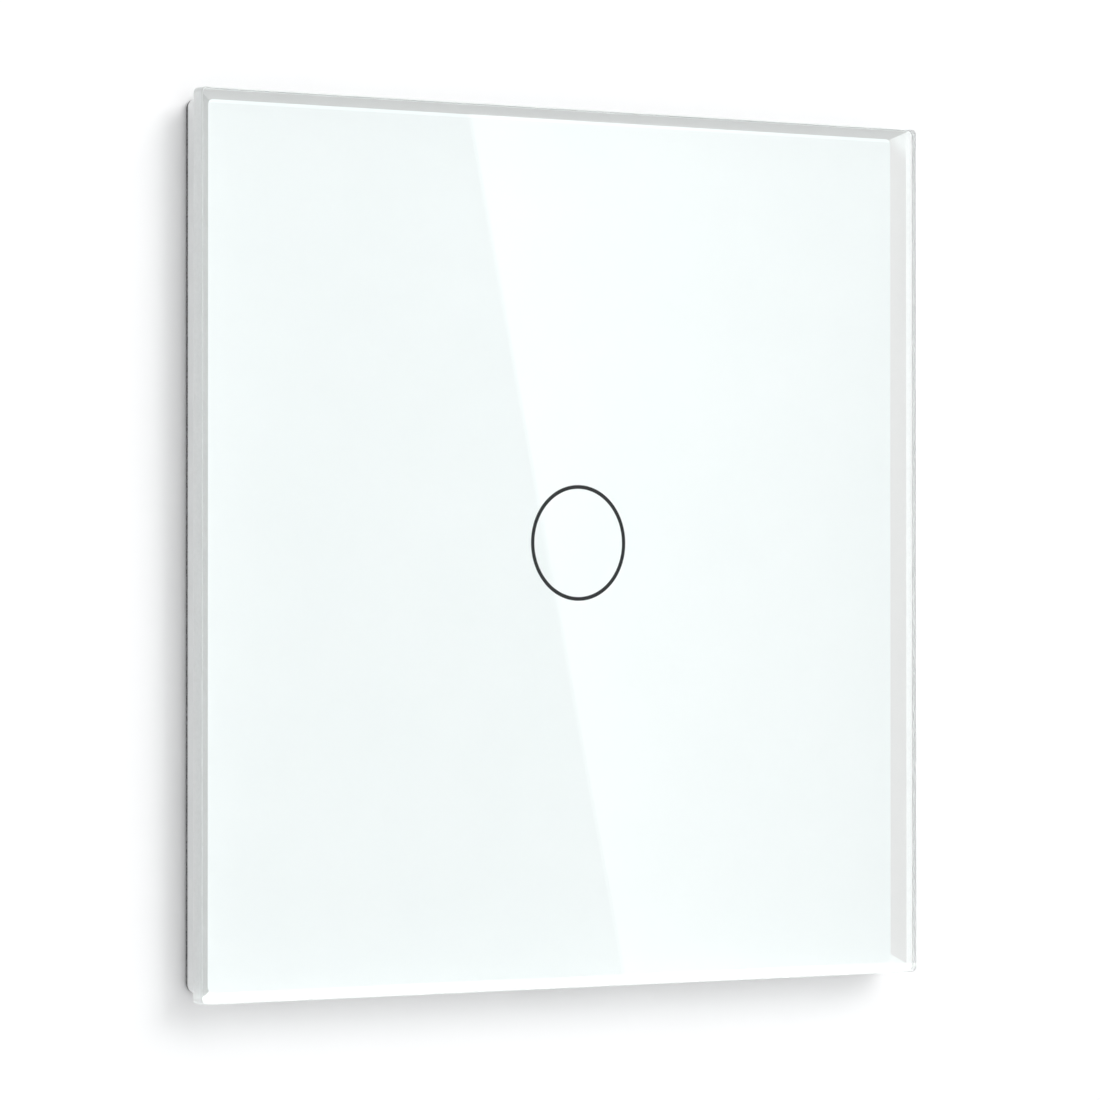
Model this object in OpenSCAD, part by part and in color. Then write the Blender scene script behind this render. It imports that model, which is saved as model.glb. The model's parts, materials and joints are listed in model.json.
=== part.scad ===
// Square glass touch switch for a round wall box, with its module, relay and screw terminals.
// X runs to the right, Y into the wall, Z up. The wall plane is Y = 0 and the glass faces -Y.

/* [Glass panel] */
// Width and height of the glass
glass_w = 80; // [76:1:90]
// Thickness of the glass
glass_t = 1.5; // [1.2:0.1:3]
// Corner radius of the glass seen from the front
glass_r = 0.6; // [0.4:0.1:2]
// Width of the polished arris on every edge
arris = 0.12; // [0.05:0.01:0.3]
// Width of the grey band and clear edge left of the white field
band_left = 1.2; // [0.8:0.1:2.5]
// Width of the grey band and clear edge right of the white field
band_right = 2.55; // [0.8:0.05:3.5]
// Width of the grey band and clear edge above and below the white field
band_level = 1; // [0.8:0.1:2.5]
// Gap between the grey band and the edge of the glass
border_gap = 0.15; // [0.12:0.01:0.6]
// Thickness of the printed enamel
print_t = 0.1; // [0.05:0.05:0.2]
// Middle diameter of the printed ring
ring_d = 10.2; // [8:0.1:20]
// Line width of the printed ring
ring_line = 0.34; // [0.2:0.02:0.6]
// How far the ring's middle lies right of the middle of the glass
ring_x = 0.35; // [-1:0.05:1]
// How far the ring's middle lies above the middle of the glass
ring_z = 0.45; // [-1:0.05:1]
// Height of the ring's ink on the glass
ring_t = 0.05; // [0.05:0.01:0.1]

/* [Holder frame] */
// How far the holder sits in from the edge of the glass
holder_inset = 0.8; // [0.5:0.1:1.5]
// Depth of the holder from its front to the gasket
holder_d = 1.85; // [1.8:0.05:4]
// Thickness of the holder's side walls
holder_wall = 1.5; // [1.2:0.1:2]
// Thickness of the holder's web
web_t = 0.7; // [0.5:0.1:0.75]
// Width of the web between the sides and the window
web_rim = 5.2; // [4.2:0.1:5.7]
// Thickness of the bonding tape
tape_t = 0.15; // [0.1:0.05:0.3]
// Thickness of the foam gasket
gasket_t = 0.4; // [0.3:0.1:0.8]
// Width of the foam gasket
gasket_w = 2; // [1.5:0.1:2.4]
// Width of the notch for prising the panel off
pry_w = 9; // [6:0.5:14]

/* [Panel clips] */
// Thickness of the clip strip
clip_t = 0.4; // [0.3:0.05:0.5]
// Width of the clip strip
clip_w = 4; // [3:0.5:4.5]
// Distance of the clip's arm from the middle
clip_x = 27; // [26.6:0.1:27.4]
// Height of the clips above and below the middle
clip_z = 10; // [9:0.5:14]
// How far the clip's bend stands out behind the plate
clip_bend = 1.25; // [0.9:0.05:1.4]

/* [Support plate] */
// Gap between the gasket and the support plate
plate_gap = 1.7; // [0.7:0.1:2.2]
// Thickness of the support plate
plate_t = 1; // [0.8:0.1:1.1]
// Distance between the fixing slots
fix_pitch = 60; // [58:0.5:62]
// Width of the fixing slots
slot_w = 3.8; // [3.4:0.1:4.2]
// Length of the fixing slots
slot_l = 7; // [5:0.5:7.5]

/* [Module box] */
// Width and height of the box
box_w = 48; // [47.6:0.2:50]
// Depth of the box behind the wall plane
box_d = 30; // [30:0.5:36]
// Wall thickness of the box
box_wall = 1.6; // [1.4:0.1:1.8]
// Diameter of the round wall box that the cut corners clear
box_round = 58; // [57:0.5:59]
// Diameter of the screws that hold the box to the plate
body_screw_d = 2.2; // [2:0.1:2.6]
// Length of those screws under the head
body_screw_l = 7; // [5:0.5:8]
// Width of the flange round the cover
cover_lip = 1.8; // [1.6:0.1:3]
// Wall thickness of the cover
cover_wall = 1; // [0.8:0.1:1.2]

/* [Boards] */
// Gap between the boards and the walls of the box
board_play = 0.9; // [0.7:0.1:1.4]
// Thickness of the front board
front_board_t = 1; // [0.8:0.1:1.2]
// Gap between the boards
board_gap = 6; // [5.6:0.1:6.5]
// Thickness of the rear board
rear_board_t = 1.2; // [1:0.1:1.6]
// Number of pins between the boards
header_n = 5; // [3:1:6]

/* [Touch point] */
// Middle diameter of the touch spring
spring_d = 6.6; // [6:0.2:7.2]
// Wire diameter of the touch spring
spring_wire = 0.4; // [0.3:0.05:0.45]
// Turns of the touch spring
spring_turns = 3; // [2:0.5:3]
// Outer diameter of the light guide
guide_d = 12; // [11:0.2:13]
// Inner diameter of the light guide
guide_bore = 9; // [8.4:0.2:9.4]

/* [Relay] */
// Distance of the relay from the side wall
relay_side = 3.1; // [2.8:0.1:3.3]
// Width of the relay case
relay_w = 15.4; // [15:0.1:15.6]
// Length of the relay case
relay_l = 19; // [18.6:0.1:19.2]
// Height of the relay case
relay_h = 15.1; // [14.9:0.1:16]
// Outer diameter of the coil
coil_d = 9.2; // [8:0.1:9.4]
// Angle the armature closes through
pull_angle = 4.8; // [3:0.1:5]

/* [Power parts] */
// Diameter of the smoothing capacitor
cap_d = 6.3; // [5:0.1:6.6]
// Length of the smoothing capacitor
cap_l = 11.3; // [9:0.1:14]
// Width of the box capacitor
drop_w = 12.6; // [11:0.1:13]
// Height of the box capacitor
drop_h = 12.1; // [10:0.1:14]
// Thickness of the box capacitor
drop_t = 7; // [5:0.1:7.4]
// Distance of the box capacitor from the side wall
drop_side = 1.8; // [1.4:0.1:2]
// Diameter of the surge disc
disc_d = 9; // [7:0.1:9.6]
// Thickness of the surge disc
disc_t = 3.6; // [3:0.1:4.4]
// Body diameter of the fuse resistor
fuse_d = 2.8; // [2:0.1:3.2]
// Body length of the fuse resistor
fuse_l = 8; // [6:0.1:9]
// Diameter of the choke's flanges
choke_d = 6.6; // [5:0.1:6.8]
// Length of the choke
choke_l = 8.2; // [6:0.1:10]
// Diameter of the wire leads
lead_d = 0.7; // [0.5:0.05:0.8]

/* [Terminals] */
// Width of the terminal block
block_w = 36; // [34:0.5:37]
// Height of the terminal block
block_h = 13; // [12.6:0.1:13.4]
// Distance between the terminals
pole_pitch = 11; // [10.5:0.25:11.5]
// Width of the contact bars
bar_w = 4; // [3:0.1:4.2]
// Thickness of the contact bars
bar_t = 1; // [0.8:0.05:1.2]
// Wall thickness of the cages
cage_wall = 0.9; // [0.7:0.05:1]
// Thread diameter of the terminal screws
screw_d = 3; // [2.6:0.1:3.2]
// Head diameter of the terminal screws
head_d = 5.4; // [5:0.1:5.6]
// Running gap round the terminal screws' threads
thread_gap = 0.05; // [0.03:0.01:0.09]
// Height of the wire space in an open cage
wire_gap = 3.4; // [3:0.1:3.4]
// Diameter of the wire entries
wire_d = 3.4; // [3:0.1:3.4]

/* [Hidden] */
$fn = 48;
y_holder = -(gasket_t + holder_d);
y_tape = y_holder - tape_t;
y_print = y_tape - print_t;
y_glass = y_print - glass_t;
y_web = y_holder + web_t;
holder_w = glass_w - 2 * holder_inset;
field_x0 = band_left - glass_w / 2;
field_x1 = glass_w / 2 - band_right;
field_h = glass_w / 2 - band_level;
border_w = glass_w - 2 * border_gap;
window_w = holder_w - 2 * web_rim;
plate_w = holder_w - 2 * (gasket_w + plate_gap);
slot_x = fix_pitch / 2;
box_cut = box_w - box_round / sqrt(2);
inner_w = box_w - 2 * box_wall;
inner_cut = box_cut - box_wall * (2 - sqrt(2));
inner_diag = inner_w - inner_cut;
corner_gap = 0.5;
board_w = inner_w - 2 * board_play;
board_cut = inner_cut - board_play - 0.2;
flange_w = inner_w - 0.6;
cover_w = flange_w - 2 * cover_lip;
cover_cut = cover_w - flange_w + inner_cut + 1.2;
y_cover = y_tape + 0.3;
y_flange = 1;
y_board1 = y_flange + front_board_t;
y_board2 = y_board1 + board_gap;
y_rear = y_board2 + rear_board_t;
spacer_at = (board_w - board_cut) / 2 - 1.6;
header_z = 2.5 - board_w / 2;
pin_step = 2.54;
relay_z = relay_l / 2 - 0.1;
relay_x = relay_w / 2 - min(inner_w / 2 - relay_side, inner_diag - corner_gap - relay_z - relay_l / 2);
relay_wall = 0.8;
relay_foot = 0.3;
base_t = 1.2;
bob_t = 0.7;
core_d = 3;
tube_d = 4.4;
coil_l = 7.3;
arm_w = 8;
arm_t = 1;
leaf_w = 3.2;
leaf_t = 0.3;
tip_d = 1.6;
tip_z = -7.5;
coil_z = -1.8;
hinge_z = 4.4;
yoke_t = 0.9;
yoke_y = relay_foot + base_t;
bob_y = yoke_y + yoke_t;
coil_y = bob_y + bob_t;
face_y = coil_y + coil_l + bob_t;
pole_d = 5.6;
arm_y = 12.35;
arm_gap = 0.05;
drop_z = 10;
drop_x = min(inner_w / 2 - drop_side, inner_diag - corner_gap - drop_z - drop_t) - drop_w;
drop_mid = drop_x + drop_w / 2;
cap_x = (relay_x + relay_w / 2 + drop_x) / 2;
cap_z = 14.5;
disc_y = 5.4;
part_z = 4.5;
fuse_z = -4;
fuse_y = 1.8;
fuse_reach = fuse_l / 2 + 1.9;
block_lo = -box_w / 2;
block_hi = block_lo + block_h;
block_y = 12;
poles = [-pole_pitch, 0, pole_pitch];
pole_z = block_lo + block_h / 2;
bar_y = 18.6;
cage_t = 1.2;
cage_w = bar_w + 0.6 + 2 * cage_wall;
cage_d = 6;
cage_y = bar_y - wire_gap - cage_t;
cage_l = 8.2;
head_y = 25.6;
head_h = 1.8;
wire_y = bar_y - wire_gap / 2;
ear_x = 8;
ear_z = box_w / 2 + 3;
cap_pins = [for (s = [-1, 1]) [cap_x + s * 1.25, cap_z]];
drop_pins = [for (s = [-1, 1]) [drop_mid + s * 5, drop_z + drop_t / 2]];
disc_pins = [for (s = [-1, 1]) [drop_mid + s * 2.5, part_z]];
choke_pins = [for (s = [-1, 1]) [cap_x + s * 2.3, part_z]];
fuse_pins = [for (s = [-1, 1]) [cap_x + s * fuse_reach, fuse_z]];
leads = concat(cap_pins, drop_pins, disc_pins, choke_pins, fuse_pins);
relay_leads = [[-3.4, 7.4], [3.4, 7.4], [0, -7.95], [-5, -6.4], [5, -6.4]];

// A cylinder along Y from y to y + l
module rod(x, y, z, d, l) {
  translate([x, y, z]) rotate([-90, 0, 0]) cylinder(d = d, h = l);
}

// A block given by its low and high corners
module block(lo, hi) {
  translate(lo) cube(hi - lo);
}

// Repeats what follows on both sides of the middle planes
module four_ways() {
  for (x = [0, 1], z = [0, 1])
    mirror([x, 0, 0]) mirror([0, 0, z]) children();
}

// A pane with round corners from x0 to x1 and from -h to h, from y to y + t
module pane(x0, x1, h, y, t, r) {
  block([x0 + r, y, -h], [x1 - r, y + t, h]);
  block([x0, y, r - h], [x1, y + t, h - r]);
  for (x = [x0 + r, x1 - r], z = [r - h, h - r]) rod(x, y, z, 2 * r, t);
}

// A square plate with round corners, from y to y + t
module plate(w, y, t, r) pane(-w / 2, w / 2, w / 2, y, t, r);

// A square plate with cut corners, from y to y + t
module cut_plate(w, y, t, cut) {
  h = w / 2;
  translate([0, y + t, 0]) rotate([90, 0, 0]) linear_extrude(height = t) polygon([
    [-h + cut, -h], [h - cut, -h], [h, -h + cut], [h, h - cut],
    [h - cut, h], [-h + cut, h], [-h, h - cut], [-h, -h + cut]
  ]);
}

// A slot with round ends through the plate, along X or along Z
module long_slot(x, z, along_x) {
  s = (slot_l - slot_w) / 2;
  for (i = [-1, 1])
    rod(x + (along_x ? i * s : 0), -plate_t - 1, z + (along_x ? 0 : i * s), slot_w, plate_t + 2);
  w = along_x ? s : slot_w / 2;
  h = along_x ? slot_w / 2 : s;
  block([x - w, -plate_t - 1, z - h], [x + w, 1, z + h]);
}

// Clear glass with rounded corners and an arris on the front and back edges
module glass_panel() color([0.86, 0.95, 0.94, 0.5]) difference() {
  plate(glass_w, y_glass, glass_t, glass_r);
  a = arris * sqrt(2);
  for (y = [y_glass, y_print], s = [-1, 1]) {
    translate([s * glass_w / 2, y, 0]) rotate([0, 0, 45]) cube([a, a, glass_w + 2], center = true);
    translate([0, y, s * glass_w / 2]) rotate([45, 0, 0]) cube([glass_w + 2, a, a], center = true);
  }
}

// White enamel field on the back of the glass
module field_print() color([0.95, 0.97, 0.97]) pane(field_x0, field_x1, field_h, y_print, print_t, 0.5);

// Grey enamel band round the field
module border_print() color([0.72, 0.73, 0.73]) difference() {
  plate(border_w, y_print, print_t, max(glass_r - border_gap, 0.2));
  block([field_x0, y_print - 1, -field_h], [field_x1, y_print + 1, field_h]);
}

// Thin ring printed on the front of the glass
module ring_mark() color([0.1, 0.1, 0.11]) difference() {
  rod(ring_x, y_glass - ring_t, ring_z, ring_d + ring_line, ring_t);
  rod(ring_x, y_glass - 1, ring_z, ring_d - ring_line, 2);
}

// Tape ring that bonds the glass to the holder
module bond_tape() color([0.3, 0.3, 0.31]) difference() {
  plate(holder_w - 1, y_tape, tape_t, 1);
  plate(window_w + 1, y_tape - 1, 3, 1);
}

// Tray behind the glass, with a window, four clip tabs and a prising notch
module holder_frame() color([0.78, 0.79, 0.79]) {
  difference() {
    plate(holder_w, y_holder, holder_d, 0.8);
    plate(holder_w - 2 * holder_wall, y_web, holder_d, 0.5);
    plate(window_w, y_holder - 1, holder_d + 2, 2);
    block([-pry_w / 2, y_web, -holder_w / 2 - 1], [pry_w / 2, 1, -holder_w / 2 + holder_wall + 1]);
  }
  four_ways() {
    block([clip_x - 1, y_holder, clip_z - 3], [window_w / 2 + 0.5, y_web, clip_z + 3]);
    rod(clip_x + 3, y_web, clip_z, 1.2, clip_t + 0.1);
  }
}

// Sprung strips staked to the tabs, with a bend that catches behind the plate
module panel_clips() color([0.75, 0.76, 0.78]) {
  t = clip_t;
  b = clip_x + t + clip_bend;
  four_ways() difference() {
    translate([0, 0, clip_z - clip_w / 2]) linear_extrude(height = clip_w) polygon([
      [clip_x + 5, y_web], [clip_x, y_web], [clip_x, 0.35], [b - 0.6, 1.25], [clip_x - 0.1, 2.6],
      [clip_x + 0.25, 2.85], [b, 1.25], [clip_x + t, 0.15], [clip_x + t, y_web + t], [clip_x + 5, y_web + t]
    ]);
    rod(clip_x + 3, y_web - 1, clip_z, 1.3, 3);
  }
}

// Foam seal on the back edge of the holder
module wall_gasket() color([0.25, 0.25, 0.26]) difference() {
  plate(holder_w, -gasket_t, gasket_t, 0.8);
  plate(holder_w - 2 * gasket_w, -gasket_t - 1, 3, 0.5);
  block([-pry_w / 2, -gasket_t - 1, -holder_w / 2 - 1], [pry_w / 2, 1, -holder_w / 2 + gasket_w + 1]);
}

// Steel plate with fixing slots, clip slots and an opening for the cover
module support_plate() color([0.7, 0.71, 0.73]) difference() {
  plate(plate_w, -plate_t, plate_t, 4);
  cut_plate(cover_w + 0.4, -5, 10, cover_cut);
  for (s = [-1, 1]) {
    long_slot(s * slot_x, 0, true);
    long_slot(0, s * slot_x, false);
  }
  h = clip_w / 2 + 0.4;
  four_ways() {
    block([clip_x - 0.5, -5, clip_z - h], [clip_x + 1, 5, clip_z + h]);
    rod(ear_x, -5, ear_z, body_screw_d + 0.3, 10);
  }
}

// Four flat-headed screws with cross recesses
module body_screws() color([0.66, 0.67, 0.69]) {
  four_ways() difference() {
    union() {
      rod(ear_x, -plate_t - 0.7, ear_z, 4.2, 0.7);
      rod(ear_x, -plate_t, ear_z, body_screw_d, body_screw_l);
    }
    translate([ear_x, -plate_t - 0.7, ear_z]) {
      cube([2.4, 0.9, 0.5], center = true);
      cube([0.5, 0.9, 2.4], center = true);
    }
  }
}

// White cover with a flange behind the plate and a round hole for the light guide
module sensor_cover() color([0.93, 0.93, 0.92]) difference() {
  union() {
    cut_plate(cover_w, y_cover, 0.5 - y_cover, cover_cut);
    cut_plate(flange_w, 0, y_flange, inner_cut);
  }
  inside = cover_cut - cover_wall * (2 - sqrt(2));
  cut_plate(cover_w - 2 * cover_wall, y_cover + cover_wall, 5, inside);
  rod(0, -10, 0, guide_d + 0.2, 20);
}

// Clear ring that carries the lamps' light to the glass
module light_guide() color([0.9, 0.95, 0.98, 0.6]) difference() {
  union() {
    rod(0, y_cover, 0, guide_d, 0.3 - y_cover);
    rod(0, y_cover + cover_wall, 0, guide_d + 1.6, 0.6);
  }
  rod(0, -10, 0, guide_bore, 20);
}

// Points of the touch spring's middle line, with a straight run at each end
spring_lo = y_flange - spring_wire / 2 - 0.02;
spring_hi = y_tape + spring_wire / 2 + 0.1;
spring_rise = (spring_hi - spring_lo) / spring_turns;
function coil_at(a) = [
  spring_d / 2 * cos(a), spring_lo + spring_rise * a / 360, spring_d / 2 * sin(a)
];
function coil_way(a) = [
  -spring_d * PI * sin(a), spring_rise, spring_d * PI * cos(a)
] / norm([spring_d * PI, spring_rise]);
coil_n = 8 * spring_turns;
coil_end = 360 * spring_turns;
run_0 = coil_way(0) * spring_wire;
run_1 = coil_way(coil_end) * spring_wire;
flat_0 = [run_0[0], 0, run_0[2]];
flat_1 = [run_1[0], 0, run_1[2]];
coil_path = concat(
  [coil_at(0) - flat_0],
  [for (i = [0:coil_n]) coil_at(i * 360 / 8)],
  [coil_at(coil_end) + flat_1]
);
function out_of(a) = [cos(a), 0, sin(a)];
function ring_angle(i) = max(0, min(coil_end, (i - 1) * 45));
coil_points = [
  for (i = [0:len(coil_path) - 1]) let (
    a = ring_angle(i),
    u = out_of(a),
    v = cross(coil_way(a), u)
  ) for (k = [0:5]) coil_path[i] + spring_wire / 2 * (cos(60 * k) * u + sin(60 * k) * v)
];
last_ring = (len(coil_path) - 1) * 6;
coil_faces = concat(
  [for (k = [1:4]) [0, k, k + 1]],
  [for (k = [1:4]) [last_ring, last_ring + k + 1, last_ring + k]],
  [for (i = [0:len(coil_path) - 2], k = [0:5]) [i * 6 + k, i * 6 + 6 + k, i * 6 + (k + 1) % 6]],
  [for (i = [0:len(coil_path) - 2], k = [0:5])
    [i * 6 + (k + 1) % 6, i * 6 + 6 + k, i * 6 + 6 + (k + 1) % 6]]
);
spring_gap = abs(spring_rise) - spring_wire;
echo(spring_gap = spring_gap);

// Coil spring between the board and the glass
module touch_spring() color([0.8, 0.78, 0.7]) polyhedron(points = coil_points, faces = coil_faces);

// Where the pins between the boards stand
function pin_x(i) = (i - (header_n - 1) / 2) * pin_step;

// Front board
module sensor_board() color([0.1, 0.35, 0.2]) difference() {
  cut_plate(board_w, y_flange, front_board_t, board_cut);
  for (i = [0:header_n - 1])
    rod(pin_x(i), 0, header_z, 1, 10);
}

// Two lamps under the light guide
module status_leds() color([0.95, 0.9, 0.6]) {
  r = (guide_d + guide_bore) / 4;
  for (x = [-r, r])
    block([x - 0.5, 0.4, -0.8], [x + 0.5, y_flange, 0.8]);
}

// Touch controller on the back of the front board
module touch_chip() color([0.12, 0.12, 0.13]) block([-2.5, y_board1 + 0.15, 6], [2.5, y_board1 + 1.55, 10]);

// Bent leads of the controller
module chip_leads() color([0.75, 0.75, 0.76]) {
  for (i = [0:3], s = [-1, 1]) {
    x = (i - 1.5) * 1.27;
    z = 8 + s * 2;
    e = 8 + s * 2.6;
    block([x - 0.2, y_board1 + 0.6, min(z, e)], [x + 0.2, y_board1 + 0.8, max(z, e)]);
    block([x - 0.2, y_board1, e - 0.1], [x + 0.2, y_board1 + 0.8, e + 0.1]);
    block([x - 0.2, y_board1, min(e, e + s * 0.5)], [x + 0.2, y_board1 + 0.2, max(e, e + s * 0.5)]);
  }
}

// Chip resistors and capacitors on the back of the front board
module small_parts() color([0.35, 0.28, 0.22]) {
  for (p = [[-8, 8], [-8, 5], [8, 8], [8, 5], [-8, -6], [-4, -6], [4, -6], [8, -6]])
    block([p[0] - 1, y_board1, p[1] - 0.6], [p[0] + 1, y_board1 + 0.6, p[1] + 0.6]);
}

// Pin strip on the front board
module header_block() color([0.13, 0.13, 0.14]) difference() {
  w = header_n * pin_step / 2;
  block([-w, y_board1, header_z - 1.25], [w, y_board1 + 2.5, header_z + 1.25]);
  for (i = [0:header_n - 1])
    rod(pin_x(i), 0, header_z, 0.8, 20);
}

// Socket strip on the rear board
module header_socket() color([0.16, 0.16, 0.17]) difference() {
  w = header_n * pin_step / 2;
  block([-w, y_board1 + 2.6, header_z - 1.25], [w, y_board2, header_z + 1.25]);
  for (i = [0:header_n - 1])
    rod(pin_x(i), 0, header_z, 0.8, 20);
}

// Pins between the boards
module header_pins() color([0.85, 0.75, 0.4]) {
  for (i = [0:header_n - 1])
    rod(pin_x(i), y_flange, header_z, 0.7, y_rear + 1 - y_flange);
}

// Spacers between the boards
module board_spacers() color([0.9, 0.9, 0.88]) {
  four_ways() difference() {
    rod(spacer_at, y_board1, spacer_at, 3.6, board_gap);
    rod(spacer_at, 0, spacer_at, 1.8, 20);
  }
}

// Rear board with holes for every lead
module power_board() color([0.1, 0.35, 0.2]) difference() {
  cut_plate(board_w, y_board2, rear_board_t, board_cut);
  for (i = [0:header_n - 1])
    rod(pin_x(i), 0, header_z, 1, 20);
  for (p = leads)
    rod(p[0], 0, p[1], lead_d + 0.3, 20);
  for (p = relay_leads)
    rod(relay_x + p[0], 0, relay_z + p[1], 1.3, 20);
  for (x = poles)
    block([x - bar_w / 4 - 0.2, 0, block_hi + 0.4], [x + bar_w / 4 + 0.2, 20, block_hi + 0.8 + bar_t]);
}

// Moves what follows to the relay's place on the rear board
module at_relay() {
  translate([relay_x, y_rear, relay_z]) children();
}

// Base of the relay
module relay_base() color([0.15, 0.15, 0.16]) at_relay() {
  w = relay_w / 2 - relay_wall - 0.1;
  l = relay_l / 2 - relay_wall - 0.1;
  block([-w, relay_foot, -l], [w, yoke_y, l]);
}

// Case of the relay, open towards the board
module relay_case() color([0.12, 0.3, 0.62]) at_relay() difference() {
  w = relay_w / 2;
  l = relay_l / 2;
  t = relay_wall;
  block([-w, relay_foot, -l], [w, relay_foot + relay_h, l]);
  block([-w + t, -1, -l + t], [w - t, relay_foot + relay_h - t, l - t]);
}

// Pins under the relay
module relay_pins() color([0.75, 0.74, 0.7]) at_relay() {
  for (p = relay_leads)
    block([p[0] - 0.4, -rear_board_t - 1.2, p[1] - 0.25], [p[0] + 0.4, relay_foot, p[1] + 0.25]);
}

// Bobbin with two flanges
module relay_bobbin() color([0.85, 0.82, 0.72]) at_relay() difference() {
  w = coil_d / 2 + 0.2;
  union() {
    for (y = [bob_y, coil_y + coil_l])
      block([-w, y, coil_z - w], [w, y + bob_t, coil_z + w]);
    rod(0, bob_y + bob_t / 2, coil_z, tube_d, coil_l + bob_t);
  }
  rod(0, 0, coil_z, core_d + 0.2, 20);
}

// Copper winding on the bobbin
module relay_coil() color([0.72, 0.4, 0.2]) at_relay() difference() {
  rod(0, coil_y, coil_z, coil_d, coil_l);
  rod(0, 0, coil_z, tube_d, 20);
}

// Iron frame with the core, its pole face and the round edge that the armature tips on
module relay_frame() color([0.6, 0.6, 0.62]) at_relay() {
  w = arm_w / 2;
  pivot_z = hinge_z + yoke_t / 2;
  pivot_y = arm_y - arm_gap - yoke_t / 2;
  pole_y = arm_y - (pivot_z - coil_z + pole_d / 2) * tan(pull_angle) - arm_gap;
  block([-w, yoke_y, coil_z - core_d], [w, bob_y, hinge_z + yoke_t]);
  block([-w, yoke_y, hinge_z], [w, pivot_y, hinge_z + yoke_t]);
  translate([-w, pivot_y, pivot_z]) rotate([0, 90, 0]) cylinder(d = yoke_t, h = arm_w);
  rod(0, bob_y - yoke_t / 2, coil_z, core_d, pole_y - bob_y + yoke_t / 2);
  rod(0, face_y, coil_z, pole_d, pole_y - face_y);
}

// Armature that tips on the round edge of the frame
module relay_armature() color([0.62, 0.62, 0.64]) at_relay()
  block([-arm_w / 2, arm_y, tip_z + 1], [arm_w / 2, arm_y + arm_t, hinge_z + 1.5]);

// Leaf with the moving contact, fixed on the armature
module relay_moving_contact() color([0.8, 0.55, 0.35]) at_relay() {
  y = arm_y + arm_t;
  block([-leaf_w / 2, y, tip_z - tip_d / 2], [leaf_w / 2, y + leaf_t, 2]);
  rod(0, y - 0.8, tip_z, tip_d, 0.9);
}

// Post with the fixed contact
module relay_fixed_contact() color([0.8, 0.62, 0.4]) at_relay() {
  y = arm_y - 1.35;
  z = tip_z - tip_d / 2 - 0.05;
  block([-1.2, yoke_y, z], [1.2, y, z + 0.7]);
  block([-1.2, y - 0.4, z], [1.2, y, tip_z + 0.6]);
  rod(0, y - 0.2, tip_z, tip_d, 0.55);
}

// Upright capacitor with a crimp groove and a sunk top
module smoothing_capacitor() color([0.13, 0.16, 0.24]) difference() {
  union() {
    rod(cap_x, y_rear + 0.2, cap_z, cap_d, 1.2);
    rod(cap_x, y_rear + 1.3, cap_z, cap_d - 0.6, 0.9);
    rod(cap_x, y_rear + 2.1, cap_z, cap_d, cap_l - 1.9);
  }
  rod(cap_x, y_rear + cap_l - 0.1, cap_z, cap_d - 1.4, 1);
}

// Box capacitor with four feet
module dropper_capacitor() color([0.75, 0.6, 0.15]) {
  block([drop_x, y_rear + 0.5, drop_z], [drop_x + drop_w, y_rear + 0.5 + drop_h, drop_z + drop_t]);
  for (x = [drop_x, drop_x + drop_w - 1.2], z = [drop_z, drop_z + drop_t - 1.2])
    block([x, y_rear, z], [x + 1.2, y_rear + 0.6, z + 1.2]);
}

// Disc that limits surges
module surge_varistor() color([0.15, 0.25, 0.55])
  translate([drop_mid, y_rear + disc_y, part_z - disc_t / 2]) cylinder(d = disc_d, h = disc_t);

// Resistor lying along X, with a cap at each end
module fuse_resistor() color([0.6, 0.5, 0.35])
  translate([cap_x - fuse_l / 2, y_rear + fuse_y, fuse_z]) rotate([0, 90, 0]) {
    cylinder(d = fuse_d + 0.4, h = fuse_l / 4);
    cylinder(d = fuse_d, h = fuse_l);
    translate([0, 0, fuse_l * 3 / 4]) cylinder(d = fuse_d + 0.4, h = fuse_l / 4);
  }

// Ferrite drum of the choke
module choke_core() color([0.2, 0.2, 0.21]) {
  rod(cap_x, y_rear + 0.2, part_z, choke_d, 1.2);
  rod(cap_x, y_rear + 1, part_z, choke_d - 3.6, choke_l - 1.2);
  rod(cap_x, y_rear + choke_l - 1, part_z, choke_d, 1.2);
}

// Copper winding on the drum
module choke_winding() color([0.7, 0.38, 0.18]) difference() {
  rod(cap_x, y_rear + 1.4, part_z, choke_d - 0.8, choke_l - 2.4);
  rod(cap_x, 0, part_z, choke_d - 3.6, 40);
}

// Bridge rectifier
module rectifier_chip() color([0.14, 0.14, 0.15])
  block([drop_mid - 2.4, y_rear, fuse_z - 2], [drop_mid + 2.4, y_rear + 2.4, fuse_z + 2]);

// A lead from in front of the rear board up to a height behind it
module lead(p, up) {
  rod(p[0], y_board2 - 1, p[1], lead_d, rear_board_t + 1 + up);
}

// Leads of the parts on the rear board
module component_leads() color([0.78, 0.78, 0.78]) {
  disc_low = disc_y - sqrt(pow(disc_d / 2, 2) - pow(2.5 - lead_d / 2, 2));
  for (p = concat(cap_pins, choke_pins))
    lead(p, 0.2);
  for (p = drop_pins)
    lead(p, 0.5);
  for (p = disc_pins)
    lead(p, disc_low - 0.02);
  for (p = fuse_pins)
    lead(p, fuse_y);
  run = fuse_reach - fuse_l / 2;
  for (x = [cap_x - fuse_reach, cap_x + fuse_l / 2])
    translate([x, y_rear + fuse_y, fuse_z]) rotate([0, 90, 0]) cylinder(d = lead_d, h = run);
}

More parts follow.
